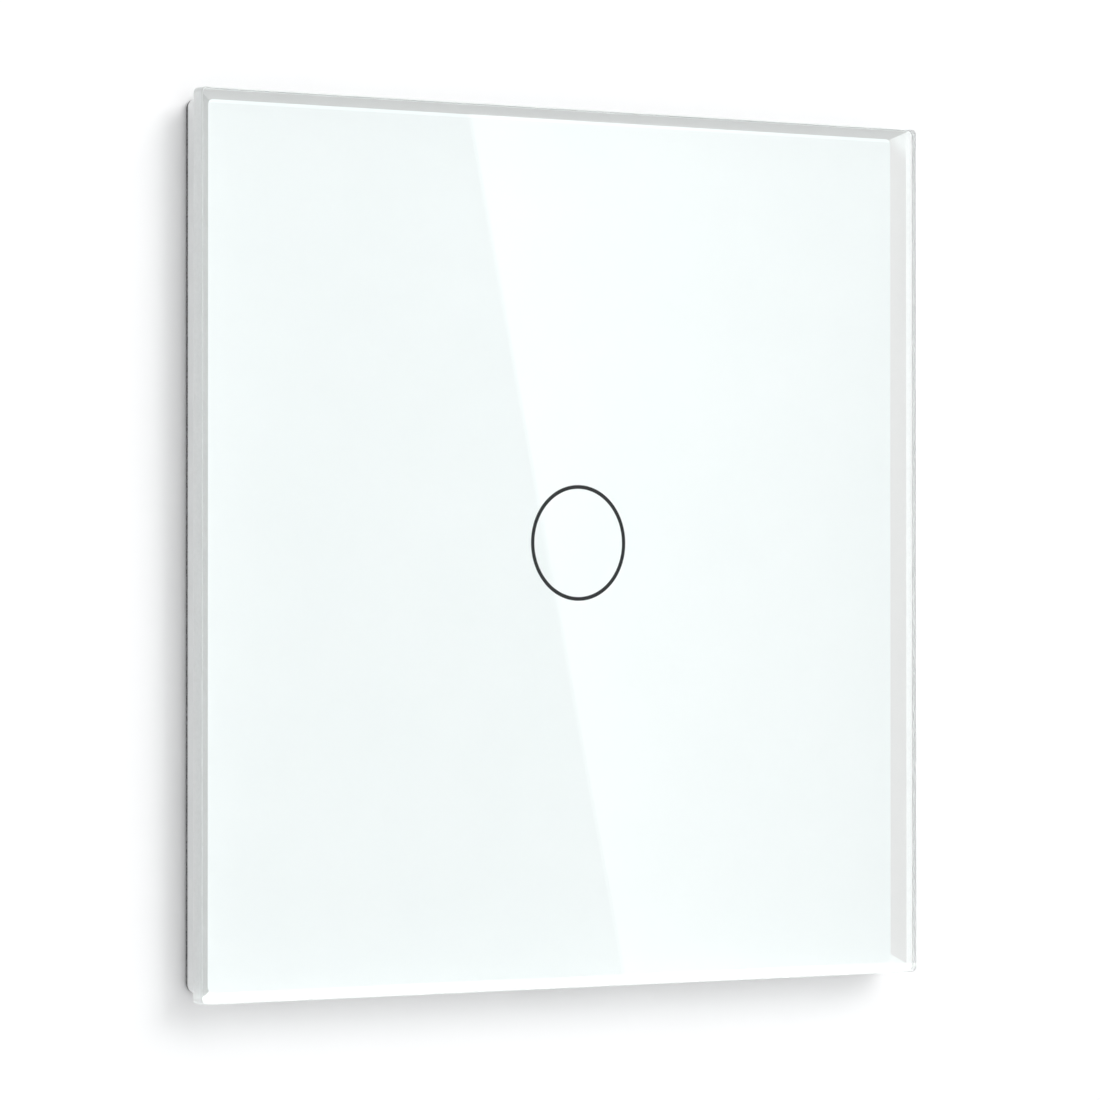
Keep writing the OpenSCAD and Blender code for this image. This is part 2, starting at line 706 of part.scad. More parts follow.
// Moulded block with cage pockets, captive screw holes and wire entries
module terminal_block() color([0.16, 0.45, 0.27]) difference() {
  intersection() {
    block([-block_w / 2, block_y, block_lo], [block_w / 2, box_d, block_hi]);
    cut_plate(box_w, block_y - 1, box_d, box_cut);
  }
  w = cage_w / 2 + 0.5;
  d = cage_d / 2 + 0.9;
  b = bar_w / 2 + 0.1;
  for (x = poles) {
    block([x - w, block_y - 1, pole_z - d], [x + w, head_y - 0.2, pole_z + d]);
    rod(x, head_y - 0.5, pole_z, head_d + 0.8, head_h + 0.7);
    rod(x, head_y, pole_z, 4.2, 20);
    translate([x, wire_y, block_lo - 1]) cylinder(d = wire_d, h = 5);
    translate([x, wire_y, block_lo - 0.01]) cylinder(d1 = wire_d + 1.2, d2 = wire_d, h = 0.6);
    block([x - b, block_y - 1, pole_z], [x + b, bar_y + bar_t + 0.1, block_hi + 1]);
  }
}

// Contact bars from the cages to the rear board
module terminal_bars() color([0.8, 0.62, 0.35]) {
  b = bar_w / 2;
  y = bar_y + bar_t;
  z = block_hi + 0.6;
  for (x = poles) {
    block([x - b, bar_y, pole_z - cage_d / 2], [x + b, y, z + bar_t]);
    block([x - b / 2, y_board2 - 1, z], [x + b / 2, y, z + bar_t]);
  }
}

// Rising cage round a contact bar, threaded for the screw
module cage(i) color([0.7, 0.7, 0.72]) difference() {
  x = poles[i];
  w = cage_w / 2;
  d = cage_d / 2;
  v = w - cage_wall;
  block([x - w, cage_y, pole_z - d], [x + w, cage_y + cage_l, pole_z + d]);
  block([x - v, cage_y + cage_t, pole_z - d - 1], [x + v, cage_y + cage_l - 1.6, pole_z + d + 1]);
  rod(x, cage_y + 3, pole_z, screw_d, 10);
}

// Captive slotted screw
module clamp_screw(i) color([0.72, 0.72, 0.74]) difference() {
  x = poles[i];
  union() {
    rod(x, head_y, pole_z, head_d, head_h);
    rod(x, bar_y + bar_t + 0.1, pole_z, screw_d - 2 * thread_gap, head_y - bar_y - bar_t);
  }
  translate([x, head_y + head_h, pole_z]) cube([head_d + 1, 2, 0.9], center = true);
}

module terminal_cage_1() cage(0);
module terminal_cage_2() cage(1);
module terminal_cage_3() cage(2);
module terminal_screw_1() clamp_screw(0);
module terminal_screw_2() clamp_screw(1);
module terminal_screw_3() clamp_screw(2);

// Box in the wall, with screw ears, board ribs, vents and a gap for the terminal block
module rear_housing() color([0.9, 0.9, 0.89]) difference() {
  union() {
    difference() {
      cut_plate(box_w, 0, box_d, box_cut);
      cut_plate(inner_w, -1, box_d - box_wall + 1, inner_cut);
    }
    four_ways() {
      block([ear_x - 3, 0, box_w / 2 - 0.5], [ear_x + 3, 7, ear_z + 3]);
      block([inner_w / 2 - 1.3, y_rear, 5], [inner_w / 2 + 0.5, box_d - 1, 7]);
    }
  }
  four_ways() rod(ear_x, -1, ear_z, body_screw_d + 0.1, body_screw_l + 0.6);
  block([-block_w / 2 - 0.2, block_y - 0.2, block_lo - 1], [block_w / 2 + 0.2, box_d + 1, block_hi + 0.2]);
  for (i = [-3:3])
    block([i * 4 - 0.8, box_d - 5, 4], [i * 4 + 0.8, box_d + 1, 17]);
}

glass_panel();
field_print();
border_print();
ring_mark();
bond_tape();
holder_frame();
panel_clips();
wall_gasket();
support_plate();
body_screws();
sensor_cover();
light_guide();
touch_spring();
sensor_board();
status_leds();
touch_chip();
chip_leads();
small_parts();
header_block();
header_socket();
header_pins();
board_spacers();
power_board();
relay_base();
relay_case();
relay_pins();
relay_bobbin();
relay_coil();
relay_frame();
relay_armature();
relay_moving_contact();
relay_fixed_contact();
smoothing_capacitor();
dropper_capacitor();
surge_varistor();
fuse_resistor();
choke_core();
choke_winding();
rectifier_chip();
component_leads();
terminal_block();
terminal_bars();
terminal_cage_1();
terminal_cage_2();
terminal_cage_3();
terminal_screw_1();
terminal_screw_2();
terminal_screw_3();
rear_housing();
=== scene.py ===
import json
import math

import bmesh
import bpy
import numpy as np
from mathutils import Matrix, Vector


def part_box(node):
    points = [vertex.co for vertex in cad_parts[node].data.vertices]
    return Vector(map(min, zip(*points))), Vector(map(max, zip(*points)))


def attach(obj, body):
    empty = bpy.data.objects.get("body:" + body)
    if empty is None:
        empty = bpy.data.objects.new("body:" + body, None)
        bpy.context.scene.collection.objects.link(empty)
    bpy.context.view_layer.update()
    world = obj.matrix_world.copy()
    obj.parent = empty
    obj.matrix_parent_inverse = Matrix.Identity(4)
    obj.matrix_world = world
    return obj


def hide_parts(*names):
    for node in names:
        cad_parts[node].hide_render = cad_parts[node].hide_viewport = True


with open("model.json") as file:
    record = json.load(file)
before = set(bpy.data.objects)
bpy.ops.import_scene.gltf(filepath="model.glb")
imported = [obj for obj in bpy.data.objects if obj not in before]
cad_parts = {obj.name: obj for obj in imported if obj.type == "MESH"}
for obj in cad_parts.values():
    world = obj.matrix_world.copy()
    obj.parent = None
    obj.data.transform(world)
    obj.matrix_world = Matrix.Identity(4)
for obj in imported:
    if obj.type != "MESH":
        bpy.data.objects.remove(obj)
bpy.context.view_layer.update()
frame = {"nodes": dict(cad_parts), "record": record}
scene = bpy.context.scene
scene.view_settings.view_transform = "Standard"
mm = 0.001
glassLow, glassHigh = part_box("glass_panel")
fieldLow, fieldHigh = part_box("field_print")
print("frame loaded with", len(frame["nodes"]), "nodes")

# the camera stands to the left of the panel and a little below its middle
cameraLook = {
    "yaw": 35.45,  # degrees to the left of square on
    "pitch": 0.557,  # degrees upwards
    "depth": 528.3 * mm,  # lens to the middle of the glass, along the view
    "aside": 2.285 * mm,  # how far the middle of the glass lies right of the view line
    "below": 5.33 * mm,  # lens below the middle of the glass
    "lens": 190.0,
    "sensor": 36.0,
    "clip": (0.01, 50.0),
    "frame": 1100,  # pixels across the photograph
}


def placeCamera(look):
    # from the middle of the glass back along the level view, to the left and down, then tilted by the pitch
    yaw, pitch = math.radians(look["yaw"]), math.radians(look["pitch"])
    ahead = Vector((math.sin(yaw), math.cos(yaw), 0))
    right = Vector((math.cos(yaw), -math.sin(yaw), 0))
    data = bpy.data.cameras.new("photoCamera")
    data.lens, data.sensor_width = look["lens"], look["sensor"]
    data.clip_start, data.clip_end = look["clip"]
    made = bpy.data.objects.new("photoCamera", data)
    scene.collection.objects.link(made)
    middle = Vector((0, glassLow.y, 0))
    made.location = middle - ahead * look["depth"] - right * look["aside"] - Vector((0, 0, look["below"]))
    aim = ahead * math.cos(pitch) + Vector((0, 0, math.sin(pitch)))
    made.rotation_euler = aim.to_track_quat("-Z", "Y").to_euler()
    scene.camera = made
    return made


camera = placeCamera(cameraLook)
bpy.context.view_layer.update()
print("camera placed", round(camera.location.length, 3), "m away")


class Value:
    # one socket; sums, products and comparisons of values add Math nodes to its finish
    def __init__(self, finish, socket):
        self.finish, self.socket = finish, socket

    def maths(self, operation, first, second=0.0):
        return self.finish.node("ShaderNodeMath", {"operation": operation}, {0: first, 1: second})

    def __add__(self, other):
        return self.maths("ADD", self, other)

    def __radd__(self, other):
        return self.maths("ADD", other, self)

    def __sub__(self, other):
        return self.maths("SUBTRACT", self, other)

    def __rsub__(self, other):
        return self.maths("SUBTRACT", other, self)

    def __mul__(self, other):
        return self.maths("MULTIPLY", self, other)

    def __rmul__(self, other):
        return self.maths("MULTIPLY", other, self)

    def __gt__(self, other):
        return self.maths("GREATER_THAN", self, other)

    def __lt__(self, other):
        return self.maths("LESS_THAN", self, other)

    def __abs__(self):
        return self.maths("ABSOLUTE", self)

    def atLeast(self, other):
        return self.maths("MAXIMUM", self, other)

    def atMost(self, other):
        return self.maths("MINIMUM", self, other)


class Finish:
    # one node material; node() adds any node: its settings first, then the values or links of its sockets
    def __init__(self, name):
        self.material = bpy.data.materials.new(name)
        self.material.use_nodes = True
        self.tree = self.material.node_tree
        self.tree.nodes.clear()

    def node(self, kind, settings=None, sockets=None, out=0):
        made = self.tree.nodes.new(kind)
        for key, value in (settings or {}).items():
            setattr(made, key, value)
        for key, value in (sockets or {}).items():
            if isinstance(value, Value):
                self.tree.links.new(value.socket, made.inputs[key])
            else:
                made.inputs[key].default_value = value
        return Value(self, made.outputs[out]) if made.outputs else made

    def place(self):
        return self.node("ShaderNodeTexCoord", out="Object")

    def axes(self, place):
        return [self.node("ShaderNodeSeparateXYZ", None, {0: place}, axis) for axis in range(3)]

    def stretched(self, place, scale):
        return self.node("ShaderNodeMapping", None, {"Vector": place, "Scale": scale})

    def noise(self, place, scale, detail=3.0, rough=0.55):
        sockets = {"Vector": place, "Scale": scale, "Detail": detail, "Roughness": rough}
        return self.node("ShaderNodeTexNoise", None, sockets)

    def cells(self, place, scale, out, settings=None):
        return self.node("ShaderNodeTexVoronoi", settings, {"Vector": place, "Scale": scale}, out)

    def ramp(self, value, low, high, start=0.0, end=1.0):
        # start below low, end above high, and an eased step between them
        settings = {"interpolation_type": "SMOOTHSTEP", "clamp": True}
        sockets = {"Value": value, "From Min": low, "From Max": high, "To Min": start, "To Max": end}
        return self.node("ShaderNodeMapRange", settings, sockets)

    def spread(self, noise, start=0.0, end=1.0, low=0.3, high=0.7):
        # a noise keeps near its middle, so that stretch of it is opened out to run from start to end
        return self.ramp(noise, low, high, start, end)

    def mix(self, share, first, second):
        first, second = (c if isinstance(c, Value) else (*c, 1) for c in (first, second))
        return self.node("ShaderNodeMix", {"data_type": "RGBA"}, {0: share, 6: first, 7: second}, 2)

    def bump(self, height, depth, softEdge=0.0):
        # the relief of a height; with a soft edge, sharp edges catch the light as if they had that radius
        sockets = {"Height": height, "Distance": depth, "Strength": 1.0}
        if softEdge:
            sockets["Normal"] = self.node("ShaderNodeBevel", {"samples": 6}, {"Radius": softEdge})
        return self.node("ShaderNodeBump", None, sockets)

    def coat(self, sockets):
        # the main shader; a colour of three numbers gets its alpha
        sockets = {k: (*v, 1) if isinstance(v, tuple) and len(v) == 3 else v for k, v in sockets.items()}
        return self.node("ShaderNodeBsdfPrincipled", None, sockets)

    def blend(self, share, first, second):
        return self.node("ShaderNodeMixShader", None, {0: share, 1: first, 2: second})

    def letLampsThrough(self, shader, tint):
        # a lamp's light goes straight through, dimmed by the tint, and every other ray meets the shader
        lampRay = self.node("ShaderNodeLightPath", None, None, "Is Shadow Ray")
        through = self.node("ShaderNodeBsdfTransparent", None, {"Color": (*tint, 1)})
        return self.blend(lampRay, shader, through)

    def done(self, shader):
        self.node("ShaderNodeOutputMaterial", None, {"Surface": shader})
        return self.material


def mouldedPlastic(name, look, patch=160.0, shinier=0.06, duller=0.08):
    # fine spark-eroded grain in the bump, tone drifting over a few millimetres, polish varying with the grain
    f = Finish(name)
    at = f.place()
    grain = f.noise(at, look["grain"], detail=2.0)
    drift = f.spread(f.noise(at, patch, detail=2.0), low=0.35)
    return f.done(f.coat({
        "Base Color": f.mix(drift, look["colour"], look["shade"]),
        "Roughness": f.spread(grain, look["polish"] - shinier, look["polish"] + duller),
        "Normal": f.bump(grain, look["depth"], look["softEdge"]),
        "IOR": 1.5,
        "Coat Weight": look.get("coat", 0.0),
    }))


def rolledMetal(name, look, cloudShare=0.4, dulled=(0.35, 1.05), shinier=0.08, duller=0.12):
    # streaks along the rolling direction and faint cloudy crystals of the plating; the streaks dull the
    # polish, and the crystals half as much
    f = Finish(name)
    at = f.place()
    streak = f.noise(f.stretched(at, look["rolling"]), 1.0, detail=4.0, rough=0.6)
    cloud = f.axes(f.cells(at, look["crystal"], "Color"))[0]
    tone = f.spread(streak * (1 - cloudShare) + cloud * cloudShare)
    polish = look["polish"]
    return f.done(f.coat({
        "Base Color": f.mix(tone, look["shade"], look["colour"]),
        "Metallic": 1.0,
        "Roughness": f.ramp(streak + cloud * 0.5, *dulled, polish - shinier, polish + duller),
        "Normal": f.bump(streak, look["depth"], look["softEdge"]),
    }))


def circuitBoard(name, look, weaveDulling=0.2, runHeight=0.7, weaveHeight=0.12):
    # copper runs show as a lighter green under the lacquer, and the glass cloth as a faint woven bump
    f = Finish(name)
    at = f.place()
    flat = f.stretched(at, (1.0, 0.0, 1.0))
    # a run lies where the nearest and the second nearest of a scatter of spots are about equally far, counted
    # along the board's sides
    nearest, second = (
        f.cells(flat, look["runs"], "Distance", {"feature": feature, "distance": "MANHATTAN"})
        for feature in ("F1", "F2")
    )
    copper = 1 - f.ramp(second - nearest, *look["runEdge"])
    weave = f.node("ShaderNodeTexChecker", None, {"Vector": at, "Scale": look["weave"]}, "Fac")
    haze = f.spread(f.noise(at, look["haze"]), low=0.35)
    return f.done(f.coat({
        "Base Color": f.mix(haze, f.mix(copper, look["colour"], look["run"]), look["shade"]),
        "Roughness": f.ramp(copper + weave * weaveDulling, 0.0, 1 + weaveDulling, *look["polish"]),
        "Normal": f.bump(copper * runHeight + weave * weaveHeight, look["depth"]),
        "Coat Weight": look["coat"],
    }))


def woundWire(name, look, shinier=0.06, duller=0.1):
    # drawn wire along the piece's own length: fine die lines, and lacquer or plating that varies in patches
    f = Finish(name)
    line = f.noise(f.stretched(f.node("ShaderNodeUVMap"), look["drawn"]), 1.0)
    patch = f.spread(f.noise(f.place(), look["patch"], detail=2.0))
    return f.done(f.coat({
        "Base Color": f.mix(patch, look["colour"], look["shade"]),
        "Metallic": look["metal"],
        "Roughness": f.spread(line, look["polish"] - shinier, look["polish"] + duller),
        "Normal": f.bump(line, look["depth"]),
        "Coat Weight": look["lacquer"],
        "Coat Roughness": 0.12,
    }))


def closedFoam(name, look, cellEdge=0.8):
    # round cells cut open at the surface: dark pits, painted shade in the hollows, with lighter skins between
    # them
    f = Finish(name)
    at = f.place()
    cell = f.cells(at, look["cell"], "Distance")
    skin = f.ramp(cell, *look["skin"])
    worn = f.spread(f.noise(at, look["worn"]), low=0.35)
    return f.done(f.coat({
        "Base Color": f.mix(skin, look["paintedPitShade"], f.mix(worn, look["colour"], look["shade"])),
        "Roughness": f.ramp(cell, 0.0, cellEdge, *look["polish"]),
        "Normal": f.bump(skin, look["depth"]),
    }))


def clearGlass(name, look):
    # polished faces and ground sides; a side begins where a point is further from the middle of its corner's
    # arc, or from the line between two of them, than the corner's radius less the arris
    f = Finish(name)
    at = f.place()
    x, y, z = f.axes(at)
    arris, edge = look["arris"], look["edge"]
    straight, sideStart = glassHigh.x - look["corner"], look["corner"] - arris
    past = [(abs(a) - straight).atLeast(0.0) for a in (x, z)]
    span = f.node("ShaderNodeCombineXYZ", None, {0: past[0], 1: past[1]})
    reach = f.node("ShaderNodeVectorMath", {"operation": "LENGTH"}, {0: span}, "Value")
    ground = f.ramp(reach, sideStart, sideStart + edge)
    # the front arris on the upright sides gets a darker tone, painted shade
    paintedArrisShade = f.ramp(y, glassLow.y + arris, glassLow.y + arris + 2 * edge, 1.0, 0.0)
    paintedArrisShade = paintedArrisShade * f.ramp(abs(x) - abs(z), -look["mitre"], 0.0)
    scuff = f.noise(at, look["scuff"])
    worn = f.spread(scuff)
    body = f.coat({
        "Base Color": look["colour"],
        "Roughness": f.spread(f.noise(at, look["ripple"]), *look["polish"]),
        "IOR": look["index"],
        "Transmission Weight": 1.0,
    })
    # the right side's paler colours are painted light, and the arris tone on the upright sides is painted
    # shade
    sides = [f.coat({
        "Base Color": f.mix(paintedArrisShade, f.mix(worn, side["colour"], side["shade"]), side["paintedArrisShade"]),
        "Roughness": f.spread(scuff, *look["sidePolish"]),
        "IOR": look["index"],
        "Transmission Weight": side["clear"],
        "Normal": f.bump(scuff, look["depth"]),
    }) for side in (look["otherSides"], look["paintedLightRightSide"])]
    panel = f.blend(ground, body, f.blend(x > straight, *sides))
    return f.done(f.letLampsThrough(panel, look["lampTint"]))


def clearMoulding(name, look, duller=0.12):
    # clear plastic with flow lines in its tone, its polish and its bump
    f = Finish(name)
    flow = f.noise(f.stretched(f.place(), look["flow"]), 1.0)
    body = f.coat({
        "Base Color": f.mix(flow, look["colour"], look["shade"]),
        "Roughness": f.spread(flow, look["polish"], look["polish"] + duller),
        "IOR": look["index"],
        "Transmission Weight": look["clear"],
        "Normal": f.bump(flow, look["depth"]),
    })
    return f.done(f.letLampsThrough(body, look["lampTint"]))


def printedField(name, look):
    # fired enamel under the glass, with a painted highlight line along its upper rim and faint pigment clouds
    f = Finish(name)
    at = f.place()
    z = f.axes(at)[2]
    # a painted highlight line along the field's upper rim
    rim = f.ramp(z, *look["rim"])
    cloud = f.spread(f.noise(at, look["cloud"]))
    return f.done(f.coat({
        "Base Color": f.mix(rim, f.mix(cloud, look["colour"], look["shade"]), look["paintedHighlightColour"]),
        "Roughness": f.spread(f.noise(at, look["grain"]), *look["polish"]),
        "Specular IOR Level": 0.0,
    }))


def printedBand(name, look):
    # four sides that meet in mitres, each with its own grey, which is painted shade and light: darkest at the
    # left, then the top, paler at the right and palest at the bottom; the right one ends in a painted
    # highlight line
    f = Finish(name)
    at = f.place()
    x, _, z = f.axes(at)
    half = glassHigh.x
    # how far in from the glass's edge, as a share of the band's width on that side
    levelShare = (half - abs(z)) * (1 / (half - fieldHigh.z))
    rightShare = (half - x) * (1 / (half - fieldHigh.x))
    leftShare = (half + x) * (1 / (half + fieldLow.x))
    isLevel = levelShare < rightShare.atMost(leftShare)
    # the right side has a painted highlight above a soft slanted step and below a sharp one
    upperPaintedHighlight = f.ramp(z + x * look["upperSlope"], *look["upperPaintedHighlight"])
    lowerPaintedHighlight = f.ramp(0.0 - z - x * look["lowerSlope"], *look["lowerPaintedHighlight"])
    rightPaintedLightTone = f.mix(upperPaintedHighlight.atLeast(lowerPaintedHighlight), look["right"], look["rightPaintedHighlight"])
    # the right side ends at the glass's edge in a painted highlight line
    paintedLightRightSide = f.mix(f.ramp(x, *look["line"]), rightPaintedLightTone, look["highlightLineColour"])
    # painted shade on the left and top sides, painted light on the right and bottom sides
    uprightSidesPaintedLightAndShade = f.mix(x > 0.0, look["left"], paintedLightRightSide)
    levelSidesPaintedLightAndShade = f.mix(z > 0.0, look["bottom"], look["top"])
    tone = f.mix(isLevel, uprightSidesPaintedLightAndShade, levelSidesPaintedLightAndShade)
    speck = f.spread(f.noise(at, look["grain"]))
    return f.done(f.coat({
        "Base Color": f.mix(speck * look["speckShare"], tone, look["speck"]),
        "Roughness": f.ramp(speck, 0.0, 1.0, *look["polish"]),
        "Specular IOR Level": 0.0,
    }))


def printedInk(name, look):
    # screen ink: slightly open at the mesh's pitch, satin where it is thick
    f = Finish(name)
    mesh = f.noise(f.place(), look["mesh"], detail=2.0)
    return f.done(f.coat({
        "Base Color": f.mix(f.ramp(mesh, *look["open"]), look["colour"], look["shade"]),
        "Roughness": f.spread(mesh, *look["polish"]),
        "Specular IOR Level": look["gleam"],
        "Normal": f.bump(mesh, look["depth"]),
    }))


def roundedOutline(low, high, corner, steps=8):
    # four quarter arcs from the right side upwards: a point is the arc's middle plus its radius at that angle
    low, high = np.array(low), np.array(high)
    quarter = np.arange(4) * np.pi / 2
    angle = (quarter[:, None] + np.linspace(0, np.pi / 2, steps)).ravel()
    towards = np.repeat(quarter + np.pi / 4, steps)
    side = np.sign(np.stack([np.cos(towards), np.sin(towards)], -1))
    middle = (low + high) / 2 + side * ((high - low) / 2 - corner)
    return middle + np.stack([np.cos(angle), np.sin(angle)], -1) * corner


def squareOutline(half, corner, steps=8):
    # the same for a square about the middle
    return roundedOutline((-half, -half), (half, half), corner, steps)


def facingRoom(flat, depth):
    # a flat outline's across and up become x and z, and the depth becomes y
    return np.stack([flat[..., 0], depth + 0 * flat[..., 0], flat[..., 1]], -1)


def gridMesh(name, points, wrapRows=False, wrapColumns=False, sharp=35):
    # quads between neighbours of a two-parameter grid of points; the UV runs along the columns and the rows
    rows, columns = points.shape[:2]
    index = np.arange(rows * columns).reshape(rows, columns)
    index = np.vstack([index, index[:1]]) if wrapRows else index
    index = np.hstack([index, index[:, :1]]) if wrapColumns else index
    high, wide = index.shape
    down, along = np.arange(high) / max(rows - 1, 1), np.arange(wide) / max(columns - 1, 1)
    v, u = np.meshgrid(down, along, indexing="ij")

    def corners(grid):
        return np.stack([grid[:-1, :-1], grid[1:, :-1], grid[1:, 1:], grid[:-1, 1:]], -1)

    mesh = bpy.data.meshes.new(name)
    mesh.from_pydata(points.reshape(-1, 3).tolist(), [], corners(index).reshape(-1, 4).tolist())
    uv = np.stack([corners(u), corners(v)], -1).reshape(-1)
    mesh.uv_layers.new(name="alongPiece").data.foreach_set("uv", uv.astype(np.float32))
    work = bmesh.new()
    work.from_mesh(mesh)
    bmesh.ops.remove_doubles(work, verts=work.verts, dist=1e-7)
    bmesh.ops.dissolve_degenerate(work, edges=work.edges, dist=1e-8)
    bmesh.ops.recalc_face_normals(work, faces=work.faces)
    work.to_mesh(mesh)
    work.free()
    mesh.shade_smooth()
    mesh.set_sharp_from_angle(angle=math.radians(sharp))
    made = bpy.data.objects.new(name, mesh)
    scene.collection.objects.link(made)
    return made


def fitPiece(made, finish, body, node):
    # a piece's finish, the body that carries it and the node that it stands for
    made.data.materials.append(finish)
    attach(made, body)
    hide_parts(node)
    print("made", made.name, "with", len(made.data.polygons), "faces for", node)
    return made


# white enamel field, a hair behind the glass so that the two faces never coincide
fieldLook = {
    "colour": (0.862, 0.86, 0.863),
    "shade": (0.854, 0.854, 0.857),
    "cloud": 90.0,
    "grain": 900.0,
    "polish": (0.3, 0.4),
    "rim": (38.69 * mm, 38.72 * mm),  # heights where the painted highlight line begins and is full
    # the colour of that painted highlight line
    "paintedHighlightColour": (0.95, 0.97, 0.97),
    "corner": 0.5 * mm,
    "clear": 0.02 * mm,
}


def whiteField(look):
    # a slab: the outline shrunk to its middle, grown to full size, carried back and shrunk again
    outline = roundedOutline((fieldLow.x, fieldLow.z), (fieldHigh.x, fieldHigh.z), look["corner"])
    share = np.array([0, 1, 1, 0])[:, None, None]
    front, back = fieldLow.y + look["clear"], fieldHigh.y
    depth = np.array([front, front, back, back])[:, None]
    return gridMesh("whiteField", facingRoom(share * outline, depth), wrapColumns=True)


fieldFinish = printedField("firedWhite", fieldLook)
fitPiece(whiteField(fieldLook), fieldFinish, "front_panel", "field_print")

# grey enamel band round the field, as far behind the glass; its sides carry painted shade and painted light
bandLook = {
    # each side's grey carries painted shade or painted light; the right side's paler ends and its line are
    # painted highlights
    "top": (0.655, 0.63, 0.63),
    "bottom": (0.93, 0.91, 0.91),
    "left": (0.53, 0.515, 0.515),
    "right": (0.76, 0.725, 0.725),
    "rightPaintedHighlight": (0.90, 0.885, 0.885),
    "upperSlope": 0.8,
    "upperPaintedHighlight": (68.0 * mm, 70.2 * mm),  # height plus slope times x, where the painted highlight begins and is full
    "lowerSlope": 0.5,
    "lowerPaintedHighlight": (19.5 * mm, 19.6 * mm),  # the same, counted downwards
    "line": (39.34 * mm, 39.42 * mm),
    "highlightLineColour": (0.97, 0.95, 0.95),
    "speck": (0.66, 0.665, 0.665),
    "speckShare": 0.12,
    "grain": 2600.0,
    "polish": (0.32, 0.4),
    "corner": 0.45 * mm,
    "innerCorner": 0.5 * mm,
    "play": 0.005 * mm,  # gap to the field
    "clear": 0.02 * mm,
}


def greyBand(look):
    # a four-sided section carried round the rounded square
    low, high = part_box("border_print")
    play = look["play"]
    innerLow, innerHigh = (fieldLow.x - play, fieldLow.z - play), (fieldHigh.x + play, fieldHigh.z + play)
    outer = squareOutline(high.x, look["corner"])
    inner = roundedOutline(innerLow, innerHigh, look["innerCorner"])
    front, back = low.y + look["clear"], high.y
    depth = np.array([front, front, back, back])[:, None]
    points = facingRoom(np.stack([outer, inner, inner, outer]), depth)
    return gridMesh("greyBand", points, wrapRows=True, wrapColumns=True)


bandFinish = printedBand("firedGreyPaintedLightAndShade", bandLook)
fitPiece(greyBand(bandLook), bandFinish, "front_panel", "border_print")

foamLook = {
    "colour": (0.18, 0.18, 0.185),
    "shade": (0.22, 0.22, 0.225),
    "worn": 420.0,
    # the pits' darker colour is painted shade
    "paintedPitShade": (0.06, 0.06, 0.062),
    "cell": 5200.0,
    "skin": (0.15, 0.75),  # how far out in a cell its darker hollow ends and its skin is full
    "polish": (0.95, 0.78),
    "depth": 0.05 * mm,
    "width": 2.0 * mm,
    "notch": 4.5 * mm,  # half of the gap in the strip's lower side
    "corner": 0.8 * mm,
    "flare": 0.3,  # how much the corner's radius grows across the strip's width
    "soft": 0.45,  # roundness of the strip's edges
    "around": 24,
}


def foamSeal(look, cornerSteps=8):
    # a soft-edged section, a power of a circle, carried round the square from one end of the gap to the other
    low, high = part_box("wall_gasket")
    width, middleDepth = look["width"], (low.y + high.y) / 2
    turn = np.linspace(0, 2 * np.pi, look["around"], endpoint=False)
    across, depth = (np.sign(a) * np.abs(a) ** look["soft"] for a in (np.cos(turn), np.sin(turn)))
    half = high.x - width / 2 + across * width / 2
    corner = look["corner"] * (1 + look["flare"] * across / 2)
    squares = (squareOutline(h, c, cornerSteps) for h, c in zip(half, corner))
    loops = np.stack([np.roll(square, cornerSteps, 0) for square in squares])  # from the lower right on
    start = np.stack([np.full_like(half, look["notch"]), -half], -1)[:, None]
    end = start * np.array([-1, 1])
    # each end is closed by drawing its section in to one point
    startPoint, endPoint = (np.broadcast_to(p.mean(0, keepdims=True), p.shape) for p in (start, end))
    flat = np.concatenate([startPoint, start, loops, end, endPoint], 1)
    drawnIn = np.ones(flat.shape[1])
    drawnIn[[0, -1]] = 0
    level = middleDepth + (depth * (high.y - low.y) / 2)[:, None] * drawnIn
    return gridMesh("foamSeal", facingRoom(flat, level), wrapRows=True, sharp=60)


foam = fitPiece(foamSeal(foamLook), closedFoam("blackFoam", foamLook), "front_panel", "wall_gasket")

coilLook = {
    "colour": (0.72, 0.60, 0.34),
    "shade": (0.62, 0.52, 0.30),
    "metal": 1.0,
    "lacquer": 0.0,
    "polish": 0.22,
    "drawn": (40.0, 3.0, 1.0),
    "patch": 500.0,
    "depth": 0.004 * mm,
    "wire": 0.4 * mm,
    "flats": 0.027 * mm,  # how much less the solid's flat-sided wire reaches than round wire
    "turns": 3,
    "perTurn": 56,
    "sides": 14,
    "domeSteps": 6,
}


